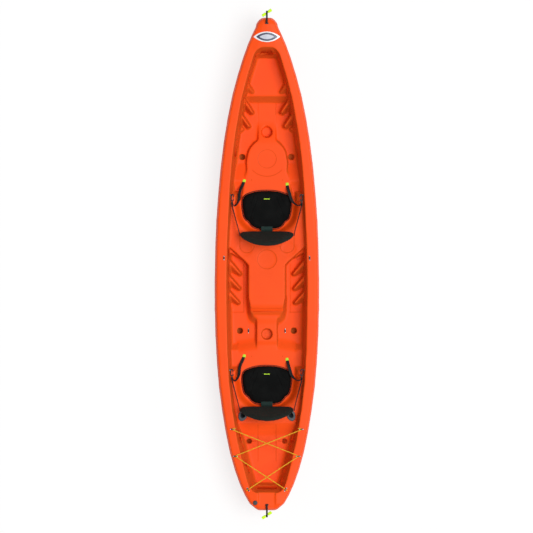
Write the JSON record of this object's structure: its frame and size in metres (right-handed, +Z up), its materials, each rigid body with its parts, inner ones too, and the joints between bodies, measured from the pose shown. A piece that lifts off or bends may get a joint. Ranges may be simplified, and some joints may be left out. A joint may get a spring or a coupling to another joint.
{
  "type": "fishing kayak",
  "caption": "Sit-on-top fishing kayak for paddlers in line, with strapped fold-down seats, rod holders, cup holders and a lashed tank well.",
  "frame": {"origin": "on the ground under the keel, at the middle of the length and the beam", "axes": "+Y towards the bow, +X to starboard, +Z up"},
  "size_m": [0.8436, 4.1084, 0.5076],
  "materials": {
    "orange_polyethylene": "satin moulded",
    "white_foam": "closed-cell",
    "lime_grip": "satin",
    "lime_tab": "matt",
    "black_webbing": "woven",
    "green_black_fabric": "woven",
    "black_fabric": "woven",
    "amber_cord": "braided",
    "steel": "brushed",
    "black_rubber": "matt",
    "grey_plastic": "satin",
    "black_plastic": "satin"
  },
  "bodies": {
    "hull": {"hull_shell": "orange_polyethylene", "deck_shell": "orange_polyethylene", "bow_foam_block": "white_foam", "stern_foam_block": "white_foam", "bow_handle_anchor": "black_plastic", "stern_handle_anchor": "black_plastic", "drain_socket": "black_plastic", "rod_holder_left": "grey_plastic", "rod_gasket_left": "black_rubber", "bungee_cord_left": "amber_cord", "bungee_eye_front_left": "black_plastic", "bungee_eye_middle_left": "black_plastic", "bungee_eye_rear_left": "black_plastic", "gunwale_eye_left": "black_plastic", "footwell_eye_left": "black_plastic", "rod_holder_right": "grey_plastic", "rod_gasket_right": "black_rubber", "bungee_cord_right": "amber_cord", "bungee_eye_front_right": "black_plastic", "bungee_eye_middle_right": "black_plastic", "bungee_eye_rear_right": "black_plastic", "gunwale_eye_right": "black_plastic", "footwell_eye_right": "black_plastic", "front_seat_pad": "black_fabric", "front_seat_hinge": "green_black_fabric", "front_seat_eye_left": "black_plastic", "front_snap_hook_left": "steel", "front_buckle_left": "black_plastic", "front_strap_left": "black_webbing", "front_pull_tab_left": "lime_tab", "front_seat_eye_right": "black_plastic", "front_snap_hook_right": "steel", "front_buckle_right": "black_plastic", "front_strap_right": "black_webbing", "front_pull_tab_right": "lime_tab", "rear_seat_pad": "black_fabric", "rear_seat_hinge": "green_black_fabric", "rear_seat_eye_left": "black_plastic", "rear_snap_hook_left": "steel", "rear_buckle_left": "black_plastic", "rear_strap_left": "black_webbing", "rear_pull_tab_left": "lime_tab", "rear_seat_eye_right": "black_plastic", "rear_snap_hook_right": "steel", "rear_buckle_right": "black_plastic", "rear_strap_right": "black_webbing", "rear_pull_tab_right": "lime_tab"},
    "front_back": {"front_backrest": "black_fabric"},
    "rear_back": {"rear_backrest": "black_fabric"},
    "bow_handle": {"bow_handle_webbing": "black_webbing", "bow_handle_grip": "lime_grip"},
    "stern_handle": {"stern_handle_webbing": "black_webbing", "stern_handle_grip": "lime_grip"},
    "gasket": {"drain_gasket": "black_rubber"},
    "plug": {"drain_plug": "grey_plastic"},
    "front_gate_left": {"front_hook_gate_left": "steel"},
    "front_gate_right": {"front_hook_gate_right": "steel"},
    "rear_gate_left": {"rear_hook_gate_left": "steel"},
    "rear_gate_right": {"rear_hook_gate_right": "steel"}
  },
  "joints": [
    {"name": "front_fold", "type": "hinge", "parent": "hull", "child": "front_back", "pos_m": [0, 0.2535, 0.224], "axis": [-1, 0, 0], "range_deg": [0, 100], "deforming": ["front_strap_left", "front_strap_right", "front_seat_hinge"]},
    {"name": "rear_fold", "type": "hinge", "parent": "hull", "child": "rear_back", "pos_m": [0, -1.1545, 0.224], "axis": [-1, 0, 0], "range_deg": [0, 100], "deforming": ["rear_strap_left", "rear_strap_right", "rear_seat_hinge"]},
    {"name": "bow_handle_swing", "type": "hinge", "parent": "hull", "child": "bow_handle", "pos_m": [0, 1.93875, 0.40154], "axis": [1, 0, 0], "range_deg": [0, 150]},
    {"name": "stern_handle_swing", "type": "hinge", "parent": "hull", "child": "stern_handle", "pos_m": [0, -1.93525, 0.3691], "axis": [-1, 0, 0], "range_deg": [0, 150]},
    {"name": "drain_lift", "type": "slide", "parent": "hull", "child": "gasket", "axis": [-0.1126, -0.0389, 0.9929], "range_m": [0, 0.012]},
    {"name": "drain_turn", "type": "hinge", "parent": "gasket", "child": "plug", "pos_m": [-0.09309, -1.92003, 0.35999], "axis": [-0.1126, -0.0389, 0.9929], "range_deg": [0, 1440]},
    {"name": "front_gate_left_swing", "type": "hinge", "parent": "hull", "child": "front_gate_left", "pos_m": [-0.26886, 0.52048, 0.26632], "axis": [-0.1772, 0, 0.9842], "range_deg": [0, 25], "stiffness_Nm_per_rad": 0.005, "springref_deg": -11.46},
    {"name": "front_gate_right_swing", "type": "hinge", "parent": "hull", "child": "front_gate_right", "pos_m": [0.26886, 0.52048, 0.26632], "axis": [-0.1772, 0, -0.9842], "range_deg": [0, 25], "stiffness_Nm_per_rad": 0.005, "springref_deg": -11.46},
    {"name": "rear_gate_left_swing", "type": "hinge", "parent": "hull", "child": "rear_gate_left", "pos_m": [-0.27216, -0.8846, 0.26697], "axis": [-0.1772, 0, 0.9842], "range_deg": [0, 25], "stiffness_Nm_per_rad": 0.005, "springref_deg": -11.46},
    {"name": "rear_gate_right_swing", "type": "hinge", "parent": "hull", "child": "rear_gate_right", "pos_m": [0.27216, -0.8846, 0.26697], "axis": [-0.1772, 0, -0.9842], "range_deg": [0, 25], "stiffness_Nm_per_rad": 0.005, "springref_deg": -11.46}
  ],
  "couplings": [
    {"joint": "drain_turn", "follows": "drain_lift", "rad_per_m": 2094.4}
  ]
}
